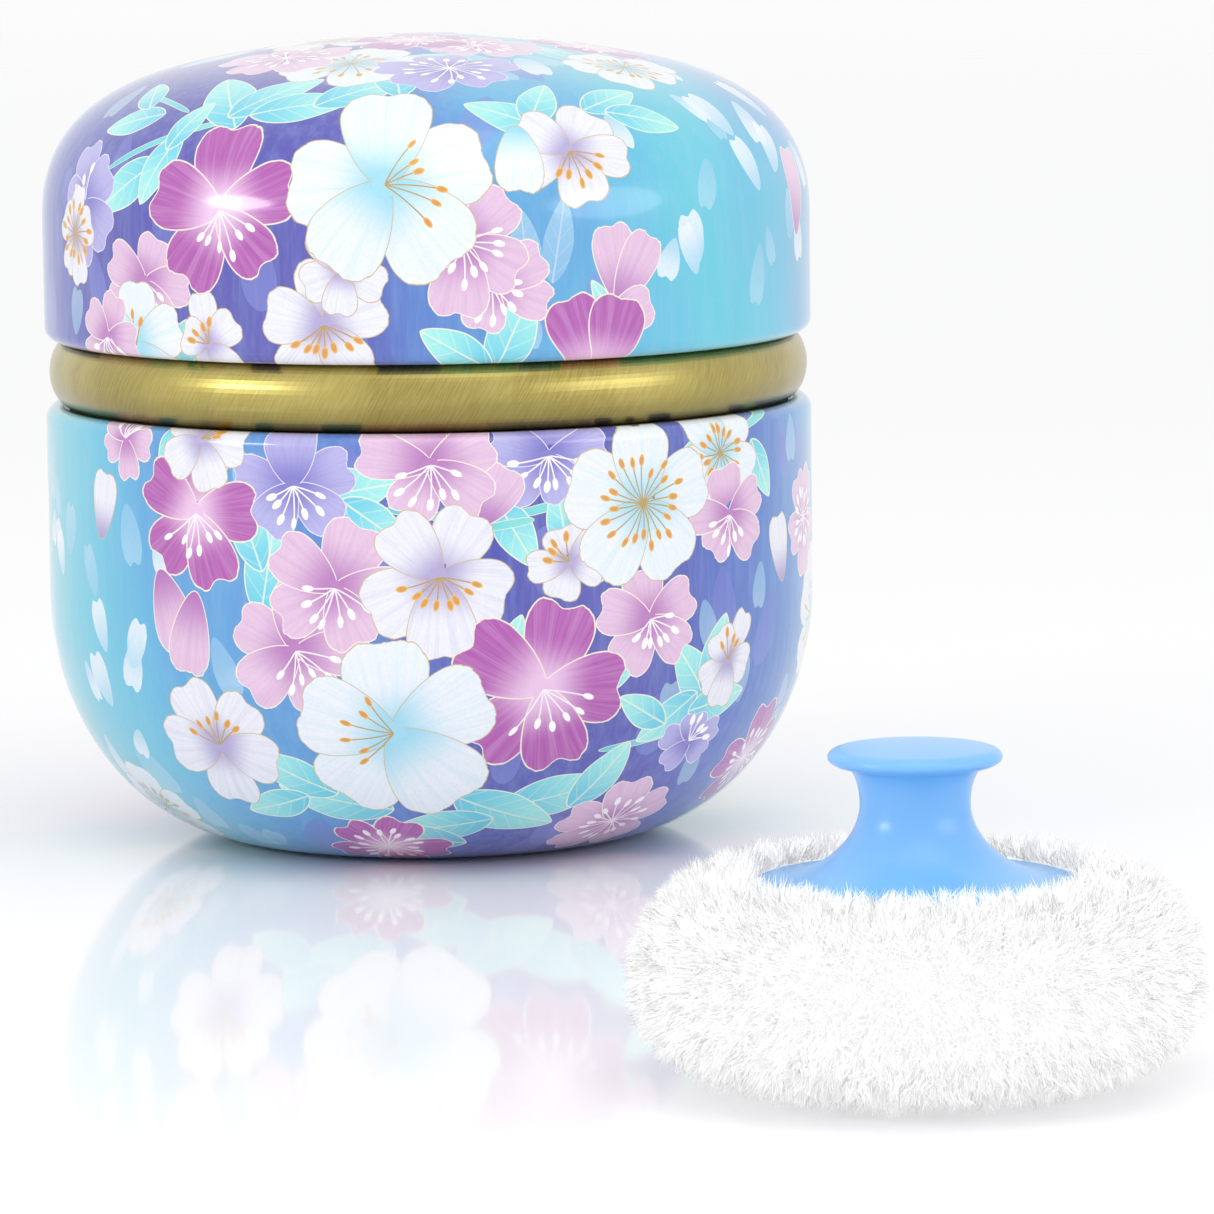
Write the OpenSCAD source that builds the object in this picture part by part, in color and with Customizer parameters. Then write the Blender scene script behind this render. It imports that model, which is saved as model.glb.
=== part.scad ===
// Round talcum powder tin with a push-on lid, a gold collar and a plush powder puff.
// The tin stands on the table with the middle of its base at the origin, +Z up.
// The puff stands on the same table, in front of the tin and to its right.

/* [Tin] */
// Outer diameter of the body and of the lid
tin_d = 75; // [62:0.5:90]
// Height of the body, from the table to the top of its rim
body_h = 42.8; // [35:0.2:52]
// Height of the gold band left showing between the body's rim and the lid's edge
band_h = 6.4; // [5:0.2:9]
// Height of the lid, from its edge to its crown
lid_h = 29.2; // [24:0.2:36]
// Thickness of the tinplate
sheet_t = 0.3; // [0.2:0.05:0.4]
// Outer radius of the rolled-in edge round the body's rim
curl_r = 1.25; // [1:0.05:1.6]
// Straight leg that follows each rolled-in edge and bears on the collar
leg_h = 1.5; // [1:0.1:2.5]

/* [Body] */
// How far the round bottom corner reaches in from the wall
corner_w = 20; // [14:0.5:24]
// How far the round bottom corner reaches up the wall
corner_h = 24; // [16:0.5:30]
// Width of the flat ring that the tin stands on
foot_w = 3.5; // [2:0.1:5]
// How far the middle of the base is pressed up
base_recess = 0.6; // [0.2:0.1:1.2]

/* [Collar] */
// Length of the sleeve that is pressed into the body
sleeve_h = 12; // [6:0.5:15]
// Length of the neck that the lid slides over
neck_h = 13; // [8:0.5:14]
// How far the bead stands out from the neck
bead_out = 2.1; // [1.5:0.1:2.3]
// How far the bead's two ends reach in behind the rolled-in edges
bead_tuck = 0.1; // [0:0.05:0.15]
// Outer radius of the rolled-in edge round the neck's mouth
mouth_curl_r = 0.8; // [0.6:0.05:1.2]

/* [Lid] */
// Radial clearance between the lid's rolled-in edge and the neck
lid_clear = 0.05; // [0.02:0.01:0.1]
// Height of the round shoulder and the crown together
shoulder_h = 17.2; // [12:0.2:19]
// Radius of the gently domed crown
crown_r = 16; // [10:0.5:20]
// How far the crown rises in its middle
crown_rise = 1.3; // [0.5:0.1:3]

/* [Powder] */
// Level of the talc above the table
powder_level = 22; // [10:0.5:28]

/* [Puff] */
// Diameter of the plush pad, over its pile
pad_d = 46; // [38:0.5:56]
// Height of the plush pad above the table, over its pile
pad_h = 17.4; // [14:0.2:22]
// Height at which the pad is widest
pad_mid_z = 7.8; // [6:0.2:10]
// Diameter of the flat patch under the pad
pad_foot_d = 22; // [14:0.5:26]
// Height of that patch above the table, which only loose tips of the pile reach
tip_gap = 0.3; // [0.2:0.1:1]
// Diameter of the ring along which the pad is highest
pad_crown_d = 28; // [22:0.5:34]
// Thickness of the plush cover, with its pile
cover_t = 3.4; // [2.5:0.1:4]
// Depth of the seat that the handle's base sinks into
seat_depth = 2.4; // [1:0.1:3]
// Diameter of the washer inside the cover
washer_d = 18; // [12:0.5:22]
// Thickness of the washer
washer_t = 1.5; // [1:0.1:2]
// Diameter of the thread
thread_d = 0.7; // [0.4:0.1:1]
// Distance of the puff to the right of the tin's axis
puff_x = 38; // [0:1:80]
// Distance of the puff in front of the tin's axis
puff_y = 130; // [85:1:150]

/* [Handle] */
// Diameter of the handle's flared base
flare_d = 26.4; // [22:0.2:32]
// Thickness of the base at its edge
flare_edge = 1; // [0.6:0.1:1.6]
// Diameter of the waist below the knob
waist_d = 8.8; // [7:0.1:11]
// Height of the waist above the seat
waist_z = 7.2; // [5:0.1:9]
// Diameter of the knob
knob_d = 13.9; // [11:0.1:18]
// Thickness of the knob
knob_t = 1.4; // [1:0.1:2]
// Height of the knob's slightly domed top above its edge
knob_rise = 0.3; // [0.1:0.1:1]
// Height of the whole handle above the seat
handle_h = 12; // [10:0.1:16]
// Diameter of the peg that holds the handle to the washer
peg_d = 5; // [3:0.1:7]

/* [Hidden] */
$fn = 120;

// Steps along a corner, along a small curl and along a long shoulder
corner_steps = 20;
curl_steps = 12;
shoulder_steps = 28;
crown_steps = 6;

tin_r = tin_d / 2;
lid_edge_z = body_h + band_h;
lid_top_z = lid_edge_z + lid_h;
neck_r = tin_r - 2 * curl_r;
neck_top_z = lid_edge_z + neck_h;
lid_curl_r = (tin_r - neck_r - lid_clear) / 2;

// The pad's side is two superellipse quarters that meet where it is widest.
pad_power = 2.3;
pad_r = pad_d / 2;
pad_foot_r = pad_foot_d / 2;
pad_crown_r = pad_crown_d / 2;
seat_z = pad_h - seat_depth;
seat_clear = 0.15;
washer_top_z = seat_z - cover_t / 2;
peg_end_z = washer_top_z - washer_t;
thread_ring_r = peg_d / 2 + 2.5;
// The flare's curve is a little flatter than a plain ellipse.
flare_power = 1.9;
// Width of the round at the knob's edge
knob_edge_w = 1.2;

// Points on a superellipse quarter or half; power 2 gives a plain ellipse.
function signed_power(x, p) = sign(x) * pow(abs(x), p);
function round_points(centre, a, b, from, to, steps, power = 2) = [
    for (i = [0:steps])
        let (angle = from + (to - from) * i / steps)
        centre + [a * signed_power(cos(angle), 2 / power), b * signed_power(sin(angle), 2 / power)]
];
function arc_points(centre, r, from, to, steps) = round_points(centre, r, r, from, to, steps);

// Points on a cubic curve with two ends and two handles.
function curve_points(p0, p1, p2, p3, steps) = [
    for (i = [0:steps])
        let (s = i / steps, q = 1 - s)
        q * q * q * p0 + 3 * q * q * s * p1 + 3 * q * s * s * p2 + s * s * s * p3
];

// A pressing is one path along its outer face, made thick by a parallel path on its left.
function unit(v) = v / norm(v);
function left_of(v) = [-v[1], v[0]];
function side_normal(path, i) = left_of(unit(path[i + 1] - path[i]));
function mitre(a, b) = (a + b) / (1 + a * b);
function clamp_axis(p) = [max(0, p[0]), p[1]];
function beside(path, t) = let (last = len(path) - 1) [
    for (i = [0:last])
        clamp_axis(path[i] + t * mitre(
            side_normal(path, max(i - 1, 0)),
            side_normal(path, min(i, last - 1))))
];
function reversed(path) = [for (i = [len(path) - 1:-1:0]) path[i]];
function tail(path) = [for (i = [1:len(path) - 1]) path[i]];
function pressing(path) = concat(path, reversed(beside(path, sheet_t)));

// Outer face of the drawn cup, from the middle of its base to the top of its wall
foot_out_r = tin_r - corner_w;
foot_in_r = foot_out_r - foot_w;
cup_path = concat(
    [[0, base_recess], [foot_in_r - base_recess, base_recess], [foot_in_r, 0]],
    round_points([foot_out_r, corner_h], corner_w, corner_h, -90, 0, corner_steps),
    [[tin_r, body_h - curl_r]]);

module body_shell() {
    rim_path = concat(
        tail(arc_points([tin_r - curl_r, body_h - curl_r], curl_r, 0, 180, curl_steps)),
        [[neck_r, body_h - curl_r - leg_h]]);
    color([0.38, 0.5, 0.84])
        rotate_extrude()
            polygon(pressing(concat(cup_path, rim_path)));
}

module collar_ring() {
    bead_half = band_h / 2 + bead_tuck;
    path = concat(
        [[neck_r, body_h - sleeve_h]],
        round_points([neck_r, body_h + band_h / 2], bead_out, bead_half, -90, 90, 2 * curl_steps),
        arc_points([neck_r - mouth_curl_r, neck_top_z - mouth_curl_r], mouth_curl_r,
            0, 180, curl_steps),
        [[neck_r - 2 * mouth_curl_r, neck_top_z - 2 * mouth_curl_r]]);
    color([0.66, 0.6, 0.3])
        rotate_extrude()
            polygon(pressing(path));
}

module lid_shell() {
    wall_top_z = lid_top_z - shoulder_h;
    crown_z = lid_top_z - crown_rise;
    // Slope of the crown where the shoulder takes over, so that the two meet smoothly
    crown_slope = atan(2 * crown_rise / crown_r);
    wall_handle = 0.79 * (crown_z - wall_top_z);
    crown_handle = 0.4 * (tin_r - crown_r);
    path = concat(
        [[neck_r + lid_clear, lid_edge_z + lid_curl_r + leg_h]],
        arc_points([tin_r - lid_curl_r, lid_edge_z + lid_curl_r], lid_curl_r,
            180, 360, curl_steps),
        curve_points([tin_r, wall_top_z], [tin_r, wall_top_z + wall_handle],
            [crown_r, crown_z] + crown_handle * [cos(crown_slope), -sin(crown_slope)],
            [crown_r, crown_z], shoulder_steps),
        [for (i = [crown_steps - 1:-1:0])
            [crown_r * i / crown_steps, lid_top_z - crown_rise * pow(i / crown_steps, 2)]]);
    color([0.42, 0.6, 0.88])
        rotate_extrude()
            polygon(pressing(path));
}

module powder_fill() {
    inside = concat(beside(cup_path, sheet_t), [[0, body_h - curl_r]]);
    color([0.98, 0.98, 0.96])
        intersection() {
            rotate_extrude()
                polygon(inside);
            cylinder(r = tin_r, h = powder_level);
        }
}

module at_puff() {
    translate([puff_x, -puff_y, 0])
        children();
}

// The pad's form, drawn inward by the given thickness
module pad_form(inset) {
    low = round_points([pad_foot_r, pad_mid_z], pad_r - pad_foot_r - inset,
        pad_mid_z - tip_gap - inset, -90, 0, corner_steps, pad_power);
    high = round_points([pad_crown_r, pad_mid_z], pad_r - pad_crown_r - inset,
        pad_h - pad_mid_z - inset, 0, 90, corner_steps, pad_power);
    rotate_extrude()
        polygon(concat([[0, tip_gap + inset]], low, tail(high), [[0, pad_h - inset]]));
}

// The space for the filling and the washer, inside the cover
module pad_inside() {
    intersection() {
        pad_form(cover_t);
        cylinder(r = pad_d, h = washer_top_z);
    }
}

module thread_loop() {
    translate([0, 0, (seat_z + washer_top_z) / 2])
        rotate_extrude()
            translate([thread_ring_r, 0])
                circle(d = thread_d);
}

module puff_cover() {
    color([0.97, 0.97, 0.96])
        at_puff()
            difference() {
                pad_form(0);
                pad_inside();
                translate([0, 0, seat_z])
                    cylinder(d = flare_d + 2 * seat_clear, h = pad_h);
                translate([0, 0, peg_end_z])
                    cylinder(d = peg_d, h = pad_h);
                thread_loop();
            }
}

module puff_filling() {
    color([0.95, 0.93, 0.86])
        at_puff()
            difference() {
                pad_inside();
                translate([0, 0, peg_end_z])
                    cylinder(d = washer_d, h = pad_h);
            }
}

module puff_washer() {
    color([0.8, 0.87, 0.94])
        at_puff()
            translate([0, 0, peg_end_z])
                difference() {
                    cylinder(d = washer_d, h = washer_t);
                    cylinder(d = peg_d, h = washer_t);
                }
}

module puff_thread() {
    color([0.98, 0.98, 0.98])
        at_puff()
            thread_loop();
}

module puff_handle() {
    waist_r = waist_d / 2;
    flare_r = flare_d / 2;
    knob_r = knob_d / 2;
    edge_r = flare_edge / 2;
    knob_edge_z = handle_h - knob_rise - knob_t / 2;
    peg_drop = seat_z - peg_end_z;
    // The waist opens out under the knob in a small round fillet.
    fillet_w = knob_r - knob_edge_w - waist_r;
    fillet_h = knob_edge_z - knob_t / 2 - waist_z;
    outline = concat(
        [[0, -peg_drop], [peg_d / 2, -peg_drop], [peg_d / 2, 0]],
        round_points([flare_r - edge_r, edge_r], edge_r, edge_r, -90, 90, curl_steps),
        round_points([flare_r - edge_r, waist_z], flare_r - edge_r - waist_r, waist_z - flare_edge,
            270, 180, corner_steps, flare_power),
        tail(round_points([knob_r - knob_edge_w, waist_z], fillet_w, fillet_h,
            180, 90, curl_steps)),
        round_points([knob_r - knob_edge_w, knob_edge_z], knob_edge_w, knob_t / 2,
            -90, 90, curl_steps),
        [for (i = [crown_steps - 1:-1:0])
            let (share = i / crown_steps)
            [(knob_r - knob_edge_w) * share, handle_h - knob_rise * share * share]]);
    color([0.42, 0.67, 0.91])
        at_puff()
            translate([0, 0, seat_z])
                rotate_extrude()
                    polygon(outline);
}

body_shell();
collar_ring();
lid_shell();
powder_fill();
puff_cover();
puff_filling();
puff_washer();
puff_thread();
puff_handle();
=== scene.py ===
import math

import bpy
import numpy as np
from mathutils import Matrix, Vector, kdtree, noise


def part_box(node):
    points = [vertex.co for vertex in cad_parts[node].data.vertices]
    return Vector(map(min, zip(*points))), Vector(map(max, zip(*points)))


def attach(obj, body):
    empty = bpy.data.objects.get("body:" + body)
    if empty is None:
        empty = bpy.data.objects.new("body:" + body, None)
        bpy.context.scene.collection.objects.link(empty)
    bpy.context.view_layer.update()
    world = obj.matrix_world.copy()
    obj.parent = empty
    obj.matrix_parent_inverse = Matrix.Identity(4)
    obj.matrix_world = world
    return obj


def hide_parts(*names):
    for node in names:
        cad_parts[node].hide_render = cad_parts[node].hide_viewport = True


# A round talcum powder tin with a blossom print, and its plush puff.
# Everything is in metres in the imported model's frame, unless a name ends in _mm.
MM = 0.001

# How fine the turned meshes are
TURN_STEPS = 360
PAD_STEPS = 180
POWDER_STEPS = 120
POWDER_RINGS = 40
ROW_MM = 0.7
RING_GRID_MM = 0.01
ON_AXIS_MM = 0.05
SHARP_DEG = 38
# Faces of the body this close to its axis, on its underside, carry no print
BASE_PANEL_R_MM = 14

# The print: how many shapes a face can show, and how many of them lie over the stamens
PETAL_SLOTS = 7
ABOVE_STAMENS = 2
PETALS = 5
# The order in which a blossom's petals are laid over each other
PETAL_ORDER = (0, 2, 4, 1, 3)
PETAL_SWAY_DEG = 7
# Shares of a blossom's radius, and the stamens that would stand all round it
HEART_SHARE = 0.12
STAMEN_SHARE = 0.56
STAMENS_ALL_ROUND = 16
PRINT_SEED = 7
INK_DEPTH = 0.06
EDGE_SOFT_MM = 0.02
# A petal's small teeth, the width of its notch, and how near a face has to be to it to show it
TEETH = 0.3
NOTCH_SHARPNESS = 12
SHOWS_WITHIN_MM = 0.4
# A face this deep inside a shape shows nothing that lies under it
HIDES_FROM = 0.15
# Two powers of an outline, and its notch or, below 0, the mark of a leaf
PETAL_POWERS = (2.3, 2.0)
LOOSE_POWERS = (2.0, 1.8)
LEAF_FORM = (1.7, 1.5, -0.1)
TWIG_FORM = (6, 2, 0)
PETAL_TAPER = 0.4
LEAF_TAPER = -0.18
TWIG_TAPER = 0.12
# The soft edge of a stamen's stalk, and the length and width of its tip
STALK_EDGE_MM = (0.045, 0.085)
TIP_LENGTH_MM = 0.58
TIP_WIDTH_MM = 0.25
TIP_VARIES_MM = 0.09

# The collar's brushed band
BAND_R_MM = 37

# The puff
PILE_SEED = 23
PILE_LENGTH_MM = 2.1
PILE_INSET_MM = 1.5
PILE_STEP_MM = 0.8
STRANDS = 66000
CLUMPS = 3200
STRAND_WIDTH_MM = 0.105
# Share of the pile that is left where the pad lies on the table
UNDERSIDE_SHARE = 0.35
UNDERSIDE_MM = 0.4
PILE_LEAN = 0.36
PILE_DROOP = 0.22
# Between which shares of the pile's length fibres and clumps vary, and how far a clump pulls its fibres
FIBRE_LENGTHS = (0.72, 1.12)
CLUMP_LENGTHS = (0.86, 1.08)
CLUMP_PULL = (0.25, 0.75)
# No fibre comes nearer to the table than this
LOWEST_MIDDLE_MM = 0.35
LOWEST_TIP_MM = 0.05
# The pile leans in over the handle's edge from this far off, and lies on it at this height
OVER_HANDLE_MM = 2.2
HANDLE_EDGE_MM = 16.0
PAD_MIDDLE_Z = 0.008

# The camera's place, and where it looks past the tin's middle
CAMERA_DISTANCE = 0.65
CAMERA_HEIGHT_DEG = 5.75
CAMERA_LENS = 196
AIM_HEIGHT = 0.039
AIM_RIGHT_DEG = 1.61
AIM_DOWN_DEG = 1.51
CAMERA_ROLL_DEG = 0.67
# The floor's shine grows between these two places along Y
SHINE_FROM = -0.17
SHINE_FULL = -0.03

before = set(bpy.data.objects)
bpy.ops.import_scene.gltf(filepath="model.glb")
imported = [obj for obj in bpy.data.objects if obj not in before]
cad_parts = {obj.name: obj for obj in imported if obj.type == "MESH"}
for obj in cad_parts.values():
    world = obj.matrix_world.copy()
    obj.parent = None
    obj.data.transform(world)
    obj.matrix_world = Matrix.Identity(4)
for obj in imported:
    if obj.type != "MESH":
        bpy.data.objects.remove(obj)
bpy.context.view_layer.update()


# ---------- colours ----------

def colour(code, alpha=1.0):
    """A colour such as "8fe6de" as linear red, green, blue and alpha."""
    parts = [int(code[i:i + 2], 16) / 255 for i in (0, 2, 4)]
    return tuple(c / 12.92 if c <= 0.04045 else ((c + 0.055) / 1.055) ** 2.4 for c in parts) + (alpha,)


# ---------- shader nodes written as sums ----------

class Wire:
    """A node's output that takes part in sums."""

    def __init__(self, graph, socket):
        self.graph = graph
        self.socket = socket

    def __add__(self, other):
        return self.graph.maths("ADD", self, other)

    def __sub__(self, other):
        return self.graph.maths("SUBTRACT", self, other)

    def __rsub__(self, other):
        return self.graph.maths("SUBTRACT", other, self)

    def __mul__(self, other):
        return self.graph.maths("MULTIPLY", self, other)

    def __truediv__(self, other):
        return self.graph.maths("DIVIDE", self, other)

    def __rtruediv__(self, other):
        return self.graph.maths("DIVIDE", other, self)

    def __pow__(self, other):
        return self.graph.maths("POWER", self, other)

    def __abs__(self):
        return self.graph.maths("ABSOLUTE", self)

    __radd__ = __add__
    __rmul__ = __mul__


class Graph:
    """A node tree with short ways to add to it."""

    def __init__(self, tree):
        self.tree = tree

    def node(self, kind, inputs=(), **settings):
        node = self.tree.nodes.new(kind)
        for name, value in settings.items():
            setattr(node, name, value)
        for key, value in dict(inputs).items():
            self.feed(node.inputs[key], value)
        return node

    def feed(self, socket, value):
        if isinstance(value, Wire):
            self.tree.links.new(value.socket, socket)
        else:
            socket.default_value = value

    def finish(self, **values):
        """Feeds the material's shader; a name such as Base_Color stands for the socket Base Color."""
        for name, value in values.items():
            self.feed(self.shader.inputs[name.replace("_", " ")], value)

    def wire(self, node, output=0):
        return Wire(self, node.outputs[output])

    def maths(self, operation, *values):
        return self.wire(self.node("ShaderNodeMath", enumerate(values), operation=operation))

    def least(self, a, b):
        return self.maths("MINIMUM", a, b)

    def most(self, a, b):
        return self.maths("MAXIMUM", a, b)

    def ramp(self, value, low, high):
        """0 below low, 1 above high, and smooth between them."""
        node = self.node("ShaderNodeMapRange", {0: value, 1: low, 2: high},
                         interpolation_type="SMOOTHSTEP")
        return self.wire(node)

    def mix(self, share, a, b):
        return self.wire(self.node("ShaderNodeMix", {0: share, 6: a, 7: b}, data_type="RGBA"), 2)

    def split(self, vector):
        node = self.node("ShaderNodeSeparateXYZ", {0: vector})
        return [self.wire(node, i) for i in range(3)]

    def join(self, x, y, z):
        return self.wire(self.node("ShaderNodeCombineXYZ", {0: x, 1: y, 2: z}))

    def attribute(self, name, output="Color"):
        return self.wire(self.node("ShaderNodeAttribute", attribute_name=name), output)

    def place(self):
        """The point's place on its own piece."""
        return self.wire(self.node("ShaderNodeTexCoord"), "Object")

    def noise(self, vector, scale, detail=2.0, roughness=0.5, output=0):
        inputs = {"Vector": vector, "Scale": scale, "Detail": detail, "Roughness": roughness}
        return self.wire(self.node("ShaderNodeTexNoise", inputs), output)

    def stretch(self, vector, scale):
        return self.wire(self.node("ShaderNodeMapping", {"Vector": vector, "Scale": scale}))

    def bump(self, height, distance, strength=1.0):
        inputs = {"Height": height, "Distance": distance, "Strength": strength}
        return self.wire(self.node("ShaderNodeBump", inputs))


def new_material(name, **finish):
    """A material and the graph of its nodes; finish sets the shader's own sockets."""
    material = bpy.data.materials.new(name)
    material.use_nodes = True
    graph = Graph(material.node_tree)
    graph.shader = material.node_tree.nodes["Principled BSDF"]
    graph.finish(**finish)
    return material, graph


def steps_to(graph, share, stops):
    """A colour that runs through the stops, each a place from 0 to 1 and a colour."""
    node = graph.node("ShaderNodeValToRGB", {0: share})
    ramp = node.color_ramp
    ramp.interpolation = "B_SPLINE"
    while len(ramp.elements) < len(stops):
        ramp.elements.new(1.0)
    for element, (at, code) in zip(ramp.elements, stops):
        element.position = at
        element.color = colour(code)
    return graph.wire(node)


# ---------- the print's layers, as node groups ----------

def new_group(name, inputs):
    group = bpy.data.node_groups.new(name, "ShaderNodeTree")
    for label, kind in inputs:
        group.interface.new_socket(name=label, in_out="INPUT", socket_type=kind)
    group.interface.new_socket(name="Colour", in_out="OUTPUT", socket_type="NodeSocketColor")
    graph = Graph(group)
    given = graph.node("NodeGroupInput")
    wires = {label: Wire(graph, given.outputs[label]) for label, kind in inputs}
    return group, graph, wires


def petal_layer():
    """One petal, leaf, bud or twig, laid over the colour under it.

    Place holds x and y, from -1 to 1 along and across the shape, and a seed; Shape its half length and
    half width in mm and its taper; Form two powers of its outline, and its notch, below 0 for a leaf.
    """
    group, graph, given = new_group("petal_layer", [
        ("Under", "NodeSocketColor"), ("Place", "NodeSocketVector"), ("Shape", "NodeSocketVector"),
        ("Form", "NodeSocketVector"), ("Inner", "NodeSocketColor"), ("Reach", "NodeSocketFloat"),
        ("Outer", "NodeSocketColor"), ("Cover", "NodeSocketFloat"), ("Line", "NodeSocketColor"),
        ("Width", "NodeSocketFloat")])
    x, y, seed = graph.split(given["Place"])
    length, width, taper = graph.split(given["Shape"])
    power_x, power_y, notch = graph.split(given["Form"])
    wide = graph.most(1 + taper * x, 0.1)
    across = y / wide
    ahead = graph.most(x, 0.0)
    is_petal = graph.maths("GREATER_THAN", notch, 0.001)
    is_leaf = graph.maths("LESS_THAN", notch, -0.001)
    dent = graph.maths("EXPONENT", across * across * -NOTCH_SHARPNESS)
    along = x + graph.most(notch, 0.0) * ahead * dent
    tooth_place = graph.join(across * 3.1 + seed * 17, seed * 5, ahead)
    tooth = (graph.noise(tooth_place, 1.6, 3.0) - 0.5) * TEETH * ahead * is_petal
    inside = 1 - abs(along) ** power_x - abs(across) ** power_y + tooth
    slope_x = power_x * abs(along) ** (power_x - 1) / length
    slope_y = power_y * abs(across) ** (power_y - 1) / (width * wide)
    slope = graph.maths("SQRT", slope_x * slope_x + slope_y * slope_y + 0.0004)
    depth = inside / slope
    mask = graph.ramp(depth, -EDGE_SOFT_MM, EDGE_SOFT_MM)
    out = (x + 1) / 2
    reach = graph.ramp(out / graph.most(given["Reach"], 0.05), 0.0, 1.0)
    shade = graph.mix(reach, given["Inner"], given["Outer"])
    fan = y / (x + 1.8)
    streak_place = graph.join(fan * 22 + seed * 31, out * 0.9, seed * 3)
    streak = graph.noise(streak_place, 1.0, 3.0, 0.6)
    veined = graph.mix(graph.ramp(streak, 0.35, 0.75) * 0.22, shade, given["Inner"])
    rib = is_leaf * (1 - graph.ramp(abs(across) * width, 0.05, 0.12))
    side_vein = graph.maths("PINGPONG", (x - abs(across) * 0.5) * length * 0.6, 0.5)
    side_rib = is_leaf * (1 - graph.ramp(side_vein, 0.03, 0.09)) * 0.35
    veined = graph.mix(graph.most(rib, side_rib) * 0.75, veined, given["Line"])
    outline = 1 - graph.ramp(depth, given["Width"] - EDGE_SOFT_MM, given["Width"] + EDGE_SOFT_MM)
    has_line = graph.maths("GREATER_THAN", given["Width"], 0.005)
    lined = graph.mix(outline * has_line, veined, given["Line"])
    result = graph.mix(mask * given["Cover"], given["Under"], lined)
    graph.node("NodeGroupOutput", {"Colour": result})
    return group


def stamen_layer():
    """A fan or a ring of stamens, laid over the colour under it.

    Place holds x and y in mm from the blossom's middle and a seed; Form the reach in mm, half the fan's
    angle and the number of stamens.
    """
    group, graph, given = new_group("stamen_layer", [
        ("Under", "NodeSocketColor"), ("Place", "NodeSocketVector"), ("Form", "NodeSocketVector"),
        ("Stalk", "NodeSocketColor"), ("On", "NodeSocketFloat"), ("Tip", "NodeSocketColor")])
    x, y, seed = graph.split(given["Place"])
    reach, spread, count = graph.split(given["Form"])
    far = graph.maths("SQRT", x * x + y * y)
    angle = graph.maths("ARCTAN2", y, x) + far / reach * 0.12
    step = spread * 2 / count
    turn = (angle + spread) / step
    number = graph.maths("FLOOR", turn)
    own = graph.join(number, graph.maths("ROUND", seed * 1000), 0.5)
    dice = graph.node("ShaderNodeTexWhiteNoise", {"Vector": own})
    chance, chance_2, chance_3 = graph.split(graph.wire(dice, "Color"))
    aside = (turn - number - 0.5 - (chance - 0.5) * 0.5) * step * far
    stalk_end = reach * (0.62 + 0.38 * chance_2)
    in_fan = graph.ramp(turn, -0.02, 0.02) * (1 - graph.ramp(turn, count - 0.02, count + 0.02))
    stalk = 1 - graph.ramp(abs(aside), *STALK_EDGE_MM)
    stalk = stalk * (1 - graph.ramp(far, stalk_end - 0.1, stalk_end))
    past = (far - stalk_end) / TIP_LENGTH_MM
    beside = aside / (TIP_WIDTH_MM + TIP_VARIES_MM * chance_3)
    tip = 1 - graph.ramp(past * past + beside * beside, 0.8, 1.15)
    shade = graph.mix(stalk * in_fan * given["On"], given["Under"], given["Stalk"])
    rim = graph.ramp(past * past + beside * beside, 0.25, 0.8)
    tip_shade = graph.mix(rim * 0.55, given["Tip"], colour("f4d35a"))
    tip_shade = graph.mix(given["On"] - 1, tip_shade, given["Tip"])
    result = graph.mix(tip * in_fan * graph.least(given["On"], 1.0), shade, tip_shade)
    graph.node("NodeGroupOutput", {"Colour": result})
    return group


# ---------- turned shapes, read off the CAD nodes ----------

def ring_path(name, axis=(0.0, 0.0), from_top=False):
    """The outline of a turned CAD node as points (r, z) in mm, read off its mesh from end to end."""
    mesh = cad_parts[name].data
    spots = np.empty(len(mesh.vertices) * 3)
    mesh.vertices.foreach_get("co", spots)
    spots = spots.reshape(-1, 3)
    ends = np.empty(len(mesh.edges) * 2, dtype=int)
    mesh.edges.foreach_get("vertices", ends)
    radius = np.hypot(spots[:, 0] - axis[0], spots[:, 1] - axis[1])
    flat_mm = np.column_stack([radius, spots[:, 2]]) / MM
    rings, ring_of = np.unique(np.round(flat_mm / RING_GRID_MM).astype(int), axis=0, return_inverse=True)
    label = np.arange(len(rings))
    for i in range(1, len(rings)):
        near = np.flatnonzero(np.abs(rings[:i] - rings[i]).max(axis=1) <= 2)
        if len(near):
            label[i] = label[near[0]]
    pairs = label[ring_of.ravel()][ends.reshape(-1, 2)]
    links = {}
    for a, b in np.unique(pairs, axis=0):
        if a != b:
            links.setdefault(int(a), set()).add(int(b))
            links.setdefault(int(b), set()).add(int(a))
    loose = [ring for ring, others in links.items() if len(others) == 1]
    here = sorted(loose, key=lambda ring: rings[ring][1])[-1 if from_top else 0]
    path = [here]
    while True:
        onward = [ring for ring in links[here] if ring not in path]
        if not onward:
            return rings[path] * RING_GRID_MM
        here = onward[0]
        path.append(here)


def to_axis(path):
    """The path with its two ends carried on to the axis, across the flat discs that close them."""
    if path[0][0] > ON_AXIS_MM:
        path = np.vstack([[0, path[0][1]], path])
    if path[-1][0] > ON_AXIS_MM:
        path = np.vstack([path, [0, path[-1][1]]])
    path[0][0] = path[-1][0] = 0
    return path


def refine(path, step_mm):
    """The path with its long stretches cut into steps."""
    points = [path[0]]
    for a, b in zip(path[:-1], path[1:]):
        parts = max(1, math.ceil(np.hypot(*(b - a)) / step_mm))
        points += [a + (b - a) * k / parts for k in range(1, parts + 1)]
    return np.array(points)


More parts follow.
